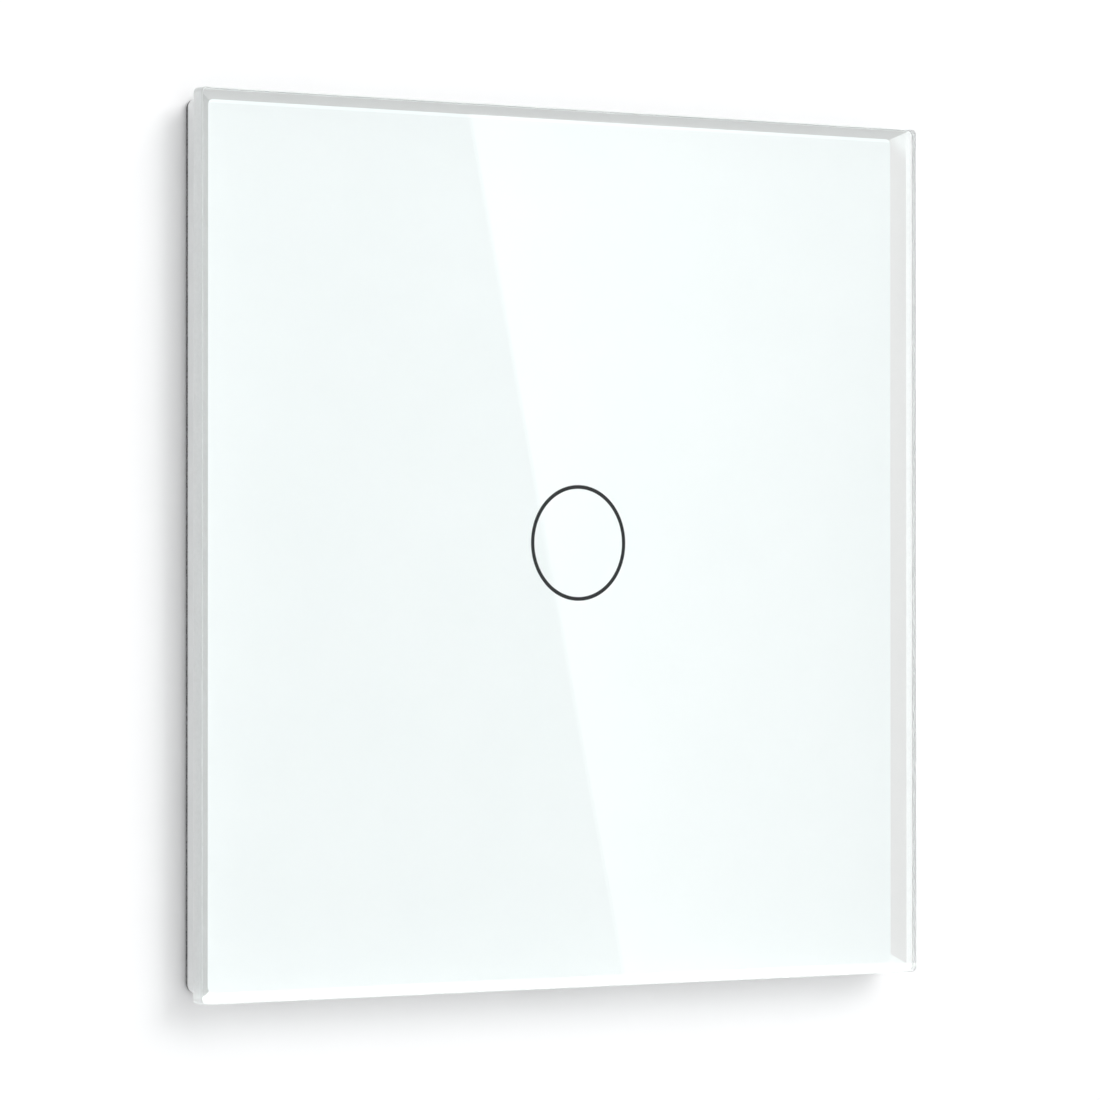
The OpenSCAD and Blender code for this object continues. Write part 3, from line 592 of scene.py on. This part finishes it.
def touchCoil(look):
    # a circle of wire carried along a helix; each end runs straight on and closes in a dome, where the wire
    # goes on by the sine of an angle and thins by its cosine
    low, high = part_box("touch_spring")
    wire, steps = look["wire"] / 2, look["domeSteps"]
    radius = high.x - wire
    top, bottom = low.y + wire - look["flats"], high.y - wire + look["flats"]
    angle = np.linspace(0, 2 * np.pi * look["turns"], look["perTurn"] * look["turns"] + 1)
    rise = (top - bottom) / angle[-1]
    path = np.stack([radius * np.cos(angle), bottom + rise * angle, radius * np.sin(angle)], -1)
    ahead = np.stack([-radius * np.sin(angle), np.full_like(angle, rise), radius * np.cos(angle)], -1)
    ahead /= np.linalg.norm(ahead, axis=-1, keepdims=True)
    dome = np.sin(np.linspace(0, np.pi / 2, steps))[:, None]
    thin = np.sqrt(1 - dome[:, 0] ** 2)
    thick = np.concatenate([thin[::-1], np.ones(len(angle)), thin]) * wire
    startDome, endDome = path[:1] - ahead[:1] * dome[::-1] * wire, path[-1:] + ahead[-1:] * dome * wire
    path = np.concatenate([startDome, path, endDome])
    ahead, angle = (np.concatenate([[a[0]] * steps, a, [a[-1]] * steps]) for a in (ahead, angle))
    outwards = np.stack([np.cos(angle), 0 * angle, np.sin(angle)], -1)
    sideways = np.cross(ahead, outwards)
    around = np.linspace(0, 2 * np.pi, look["sides"], endpoint=False)[:, None, None]
    ring = np.cos(around) * outwards + np.sin(around) * sideways
    return gridMesh("touchCoil", path + ring * thick[:, None], wrapRows=True, sharp=80)


fitPiece(touchCoil(coilLook), woundWire("platedWire", coilLook), "module", "touch_spring")

windingLook = {
    "colour": (0.62, 0.23, 0.08),
    "shade": (0.46, 0.15, 0.05),
    "metal": 0.85,
    "lacquer": 0.6,
    "polish": 0.3,
    "drawn": (6.0, 300.0, 1.0),
    "patch": 700.0,
    "depth": 0.004 * mm,
}
drumLooks = {
    "relayWinding": {"node": "relay_coil", "bore": 2.2 * mm, "wire": 0.2 * mm},
    "chokeWinding": {"node": "choke_winding", "bore": 1.5 * mm, "wire": 0.36 * mm},
}


def woundDrum(name, look, sides=72, perTurn=6):
    # turns of wire side by side: the radius dips between turns, and the dips run round as a helix
    low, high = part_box(look["node"])
    middle, wire = (low + high) / 2, look["wire"]
    outer, length = (high.x - low.x) / 2, high.y - low.y
    turns = int(length / wire)
    around = np.linspace(0, 2 * np.pi, sides, endpoint=False)
    along = np.linspace(0, 1, turns * perTurn + 1)
    lap = along[:, None] * turns - around / (2 * np.pi)
    radius = outer - wire / 2 * (1 - np.abs(np.sin(np.pi * lap)))
    bore = np.full((1, sides), look["bore"])
    radius = np.vstack([bore, radius, bore])
    depth = low.y + length * np.concatenate([[0], along, [1]])[:, None]
    flat = np.stack([middle.x + radius * np.cos(around), middle.z + radius * np.sin(around)], -1)
    return gridMesh(name, facingRoom(flat, depth), wrapRows=True, wrapColumns=True, sharp=50)


copperWire = woundWire("lacqueredCopper", windingLook)
for name, look in drumLooks.items():
    fitPiece(woundDrum(name, look), copperWire, "module", look["node"])

# one look for each finish that the rest of the nodes wear: polish is the roughness, grain and the like count
# repeats in a metre, and depths and soft edges are lengths
plasticLooks = {
    "grey_plastic": {
        "colour": (0.72, 0.73, 0.73), "shade": (0.69, 0.70, 0.70), "polish": 0.45,
        "grain": 3600.0, "depth": 0.015 * mm, "softEdge": 0.12 * mm,
    },
    "white_plastic": {
        "colour": (0.80, 0.80, 0.78), "shade": (0.785, 0.785, 0.762), "polish": 0.42,
        "grain": 3200.0, "depth": 0.02 * mm, "softEdge": 0.25 * mm,
    },
    "black_plastic": {
        "colour": (0.022, 0.022, 0.024), "shade": (0.03, 0.03, 0.032), "polish": 0.5,
        "grain": 5200.0, "depth": 0.012 * mm, "softEdge": 0.06 * mm,
    },
    "blue_plastic": {
        "colour": (0.02, 0.08, 0.30), "shade": (0.018, 0.07, 0.26), "polish": 0.25, "coat": 0.4,
        "grain": 2400.0, "depth": 0.005 * mm, "softEdge": 0.2 * mm,
    },
    "cream_plastic": {
        "colour": (0.68, 0.60, 0.42), "shade": (0.62, 0.55, 0.38), "polish": 0.45,
        "grain": 3600.0, "depth": 0.012 * mm, "softEdge": 0.12 * mm,
    },
    "yellow_plastic": {
        "colour": (0.62, 0.40, 0.05), "shade": (0.57, 0.36, 0.045), "polish": 0.4,
        "grain": 3000.0, "depth": 0.012 * mm, "softEdge": 0.3 * mm,
    },
    "green_plastic": {
        "colour": (0.035, 0.20, 0.075), "shade": (0.03, 0.17, 0.065), "polish": 0.42,
        "grain": 3000.0, "depth": 0.018 * mm, "softEdge": 0.15 * mm,
    },
    "blue_epoxy": {
        "colour": (0.03, 0.09, 0.30), "shade": (0.025, 0.07, 0.24), "polish": 0.3, "coat": 0.3,
        "grain": 900.0, "depth": 0.05 * mm, "softEdge": 0.4 * mm,
    },
    "tan_cement": {
        "colour": (0.45, 0.32, 0.18), "shade": (0.38, 0.27, 0.15), "polish": 0.7,
        "grain": 2200.0, "depth": 0.05 * mm, "softEdge": 0.15 * mm,
    },
    "ferrite": {
        "colour": (0.035, 0.035, 0.037), "shade": (0.05, 0.05, 0.052), "polish": 0.6,
        "grain": 4200.0, "depth": 0.03 * mm, "softEdge": 0.12 * mm,
    },
    "ceramic": {
        "colour": (0.24, 0.16, 0.10), "shade": (0.20, 0.13, 0.085), "polish": 0.35,
        "grain": 5200.0, "depth": 0.008 * mm, "softEdge": 0.05 * mm,
    },
    "sleeve": {
        "colour": (0.02, 0.026, 0.055), "shade": (0.026, 0.033, 0.066), "polish": 0.22, "coat": 0.5,
        "grain": 1400.0, "depth": 0.01 * mm, "softEdge": 0.25 * mm,
    },
    "tape": {
        "colour": (0.05, 0.05, 0.052), "shade": (0.07, 0.07, 0.072), "polish": 0.7,
        "grain": 4600.0, "depth": 0.03 * mm, "softEdge": 0.03 * mm,
    },
}
metalLooks = {
    "zinc_steel": {
        "colour": (0.64, 0.65, 0.67), "shade": (0.52, 0.53, 0.56), "polish": 0.36, "crystal": 320.0,
        "rolling": (140.0, 900.0, 2600.0), "depth": 0.004 * mm, "softEdge": 0.1 * mm,
    },
    "screw_steel": {
        "colour": (0.60, 0.61, 0.63), "shade": (0.48, 0.49, 0.52), "polish": 0.3, "crystal": 900.0,
        "rolling": (2600.0, 500.0, 2600.0), "depth": 0.004 * mm, "softEdge": 0.06 * mm,
    },
    "spring_steel": {
        "colour": (0.56, 0.57, 0.59), "shade": (0.44, 0.45, 0.47), "polish": 0.24, "crystal": 1200.0,
        "rolling": (300.0, 300.0, 3600.0), "depth": 0.003 * mm, "softEdge": 0.06 * mm,
    },
    "tinned": {
        "colour": (0.70, 0.70, 0.69), "shade": (0.58, 0.58, 0.57), "polish": 0.33, "crystal": 1500.0,
        "rolling": (900.0, 900.0, 900.0), "depth": 0.006 * mm, "softEdge": 0.04 * mm,
    },
    "gold_plate": {
        "colour": (0.82, 0.56, 0.20), "shade": (0.72, 0.48, 0.17), "polish": 0.22, "crystal": 1500.0,
        "rolling": (1800.0, 300.0, 1800.0), "depth": 0.003 * mm, "softEdge": 0.04 * mm,
    },
    "soft_iron": {
        "colour": (0.50, 0.50, 0.51), "shade": (0.40, 0.40, 0.42), "polish": 0.34, "crystal": 900.0,
        "rolling": (2400.0, 400.0, 600.0), "depth": 0.005 * mm, "softEdge": 0.08 * mm,
    },
    "contact_bronze": {
        "colour": (0.74, 0.42, 0.19), "shade": (0.62, 0.34, 0.15), "polish": 0.28, "crystal": 900.0,
        "rolling": (2400.0, 600.0, 300.0), "depth": 0.004 * mm, "softEdge": 0.05 * mm,
    },
    "brass_bar": {
        "colour": (0.74, 0.52, 0.20), "shade": (0.62, 0.43, 0.17), "polish": 0.28, "crystal": 700.0,
        "rolling": (2400.0, 500.0, 500.0), "depth": 0.004 * mm, "softEdge": 0.08 * mm,
    },
    "cage_steel": {
        "colour": (0.62, 0.62, 0.64), "shade": (0.50, 0.50, 0.53), "polish": 0.32, "crystal": 700.0,
        "rolling": (500.0, 2600.0, 500.0), "depth": 0.005 * mm, "softEdge": 0.1 * mm,
    },
}
boardLook = {
    "colour": (0.012, 0.10, 0.035),
    "shade": (0.01, 0.085, 0.03),
    "haze": 220.0,
    "run": (0.03, 0.20, 0.07),
    "runs": 480.0,
    "runEdge": (0.1, 0.14),
    "weave": 1800.0,
    "polish": (0.34, 0.24),
    "coat": 0.3,
    "depth": 0.03 * mm,
}
glassLook = {
    "colour": (0.965, 0.99, 0.985),
    "ripple": 35.0,
    "polish": (0.0, 0.012),
    "index": 1.52,
    # each side's arris tone is painted shade; the right side's paler tones are painted light
    "otherSides": {
        "colour": (0.90, 0.92, 0.915), "shade": (0.86, 0.88, 0.875),
        "paintedArrisShade": (0.66, 0.675, 0.67), "clear": 0.45,
    },
    "paintedLightRightSide": {  # clearer than the rest, with paler tones that are painted light
        "colour": (0.97, 0.965, 0.965), "shade": (0.95, 0.945, 0.945),
        "paintedArrisShade": (0.80, 0.79, 0.79), "clear": 0.8,
    },
    "scuff": 2600.0,
    "sidePolish": (0.42, 0.6),
    "depth": 0.01 * mm,
    "corner": 0.6 * mm,
    "arris": 0.115 * mm,
    "edge": 0.01 * mm,  # how softly one finish turns to the next
    "mitre": 1.5 * mm,
    "lampTint": (0.82, 0.84, 0.84),
}
guideLook = {
    "colour": (0.93, 0.96, 0.98),
    "shade": (0.88, 0.93, 0.96),
    "polish": 0.12,
    "clear": 0.85,
    "index": 1.49,
    "flow": (300.0, 900.0, 300.0),
    "depth": 0.01 * mm,
    "lampTint": (0.8, 0.84, 0.86),
}
resinLook = guideLook | {
    "colour": (0.90, 0.80, 0.38),
    "shade": (0.84, 0.70, 0.28),
    "polish": 0.18,
    "clear": 0.35,
    "flow": (900.0, 900.0, 900.0),
}
inkLook = {
    "colour": (0.016, 0.0175, 0.0185),
    "shade": (0.024, 0.0255, 0.0265),
    "mesh": 4800.0,
    "open": (0.35, 0.75),
    "polish": (0.5, 0.65),
    "gleam": 0.25,
    "depth": 0.004 * mm,
}

finishes = {slot: mouldedPlastic(slot.replace("_", "-"), look) for slot, look in plasticLooks.items()}
finishes |= {slot: rolledMetal(slot.replace("_", "-"), look) for slot, look in metalLooks.items()}
finishes["board"] = circuitBoard("green-lacquer", boardLook)
finishes["clear_glass"] = clearGlass("clear-glass", glassLook)
finishes["clear_plastic"] = clearMoulding("clear-moulding", guideLook)
finishes["lamp"] = clearMoulding("cast-resin", resinLook)
finishes["dark_ink"] = printedInk("dark-ink", inkLook)
for part in frame["record"]["subparts"]:
    finish = finishes.get(part["material_slot"])
    if finish:
        mesh = frame["nodes"][part["node"]].data
        mesh.materials.clear()
        mesh.materials.append(finish)
# ink this thin leaves no shadow or mirrored line on the field behind it
ringMark = frame["nodes"]["ring_mark"]
ringMark.visible_shadow = ringMark.visible_transmission = ringMark.visible_glossy = False
print("dressed the nodes with", len(finishes), "finishes")

# a pale wall with an opening for the module, and a pale floor far below
stageLook = {
    "wall": 0.9,
    "floor": 0.8,
    "roll": 60.0,
    "opening": 38.4 * mm,
    "reach": 95 * mm,
    "corner": 1 * mm,
    "floorDrop": 0.4,
    "floorReach": 3.0,
}


def palePaint(name, tone, roll):
    # rolled paint, whose tone drifts by one part in a hundred
    f = Finish(name)
    drift = f.spread(f.noise(f.place(), roll))
    shade = f.mix(drift, (tone,) * 3, (tone * 0.99,) * 3)
    return f.done(f.coat({"Base Color": shade, "Roughness": 0.9, "Specular IOR Level": 0.0}))


def paleWall(look):
    # the opening's outline carried out to the wall's edge
    halves = (look["opening"], look["reach"])
    loops = np.stack([squareOutline(half, look["corner"], steps=4) for half in halves])
    return gridMesh("paleWall", facingRoom(loops, 0), wrapColumns=True)


def paleFloor(look):
    # one level quad
    side = np.array([-1.0, 1.0]) * look["floorReach"]
    x, y = np.meshgrid(side, side, indexing="ij")
    return gridMesh("paleFloor", np.stack([x, y, 0 * x - look["floorDrop"]], -1))


for made, tone in ((paleWall(stageLook), "wall"), (paleFloor(stageLook), "floor")):
    made.data.materials.append(palePaint(made.name, stageLook[tone], stageLook["roll"]))
print("set a wall and a floor")

# bright cards far to the right of the panel, which only their reflections in the glass show; their edges are
# where they show on the glass, in the photograph's pixels
cardLook = {
    "far": 1.3,  # metres
    "slant": (471, 626),  # the slanted card's left edge, at its top and its bottom
    "above": ((208, 98.6), (890, 136.7)),  # the lines that it ends at
    "below": ((208, 995.8), (890, 964.0)),
    "full": 500,  # it has its whole glow to the left of this
    "fade": 890,  # and ends at this
    "glow": 1.42,
    "faded": 0.26,  # a little darker than the room where it ends
    "grid": (12, 40),
    "rim": ((208, 1004.8), (906, 972.4)),  # the glass's lower edge, which the rim card lies along
    "rimEnds": (200, 918),
    "rimOver": 3,  # how far it runs on past that edge
    "rimGlow": 3.0,
    "rimSteps": 12,
}


def mirroredPlaces(pixels, far):
    # the ray through each pixel, turned back by the front of the glass and followed to a plane square to the
    # mirrored view
    frameSize = cameraLook["frame"]
    focal = cameraLook["lens"] / cameraLook["sensor"] * frameSize
    turn = np.array(camera.matrix_world.to_3x3())
    eye = np.array(camera.location)
    aside = (pixels - frameSize / 2) / focal * [1, -1]
    rays = np.concatenate([aside, -np.ones(pixels.shape[:-1] + (1,))], -1) @ turn.T
    hit = eye + rays * ((glassLow.y - eye[1]) / rays[..., 1:2])
    mirror = np.array([1, -1, 1])
    back = rays * mirror
    way = (turn @ np.array([0, 0, -1.0])) * mirror
    return hit + back * ((far - hit @ way) / (back @ way))[..., None]


def lineAt(line, x):
    # the straight line through two points, at x
    (x0, y0), (x1, y1) = line
    return y0 + (y1 - y0) * (x - x0) / (x1 - x0)


def glowingCard(name, x, y, glow, far):
    # a sheet with its own glow at each point, which lights nothing and shows only where it is mirrored
    made = gridMesh(name, mirroredPlaces(np.stack([x, y], -1), far))
    layer = made.data.attributes.new("glow", "FLOAT", "POINT")
    layer.data.foreach_set("value", glow.astype(np.float32).ravel())
    f = Finish(name)
    light = f.node("ShaderNodeAttribute", {"attribute_name": "glow"}, None, "Fac")
    made.data.materials.append(f.done(f.node("ShaderNodeEmission", None, {"Color": light, "Strength": 1.0})))
    made.visible_camera = made.visible_diffuse = made.visible_shadow = False


def hangSlantedCard(look):
    # rows run down the picture, and columns from the slanted edge to where the glow has faded, evenly with x
    rows, columns = look["grid"]
    top, bottom = look["slant"]
    down = np.linspace(0, 1, rows)[:, None]
    edge = top + (bottom - top) * down
    x = edge + (look["fade"] - edge) * np.linspace(0, 1, columns)
    y = lineAt(look["above"], x) * (1 - down) + lineAt(look["below"], x) * down
    share = np.clip((look["fade"] - x) / (look["fade"] - look["full"]), 0, 1)
    glowingCard("slantedCard", x, y, look["faded"] + share * (look["glow"] - look["faded"]), look["far"])


def hangRimCard(look):
    # a strip from the field's lower edge to just past the glass's
    across = np.linspace(*look["rimEnds"], look["rimSteps"])
    x = np.stack([across, across])
    y = np.stack([lineAt(look["below"], across), lineAt(look["rim"], across) + look["rimOver"]])
    glowingCard("rimCard", x, y, np.full(x.shape, look["rimGlow"]), look["far"])


hangSlantedCard(cardLook)
hangRimCard(cardLook)

studioLooks = {
    "keySoftbox": {"place": (1.3, -1.1, 1.25), "size": (1.7, 1.2), "power": 32.0},
    "frontFill": {"place": (0.12, -1.7, 0.16), "size": (0.8, 0.8), "power": 2.3, "mirrored": False},
    "topSoftbox": {"place": (0.05, -0.9, 1.3), "size": (1.3, 0.9), "power": 5.8},
    "leftFill": {"place": (-1.2, -0.3, 0.05), "size": (0.5, 0.5), "power": 3.0},
    "backFill": {"place": (-0.7, 1.2, 0.7), "size": (1.0, 1.0), "power": 10.0},
}
roomLook = {"Color": (0.97, 0.985, 1.0, 1), "Strength": 0.44}


def hangLamp(name, look):
    # a soft rectangle of light that faces the panel
    data = bpy.data.lights.new(name, "AREA")
    data.shape, data.energy = "RECTANGLE", look["power"]
    data.size, data.size_y = look["size"]
    lamp = bpy.data.objects.new(name, data)
    lamp.location = look["place"]
    lamp.rotation_euler = (-Vector(look["place"])).to_track_quat("-Z", "Y").to_euler()
    lamp.visible_camera = False
    lamp.visible_glossy = look.get("mirrored", True)
    scene.collection.objects.link(lamp)


for name, look in studioLooks.items():
    hangLamp(name, look)
world = bpy.data.worlds.new("paleRoom")
world.use_nodes = True
for key, value in roomLook.items():
    world.node_tree.nodes["Background"].inputs[key].default_value = value
scene.world = world
print("lit with", len(studioLooks), "lamps and two cards")
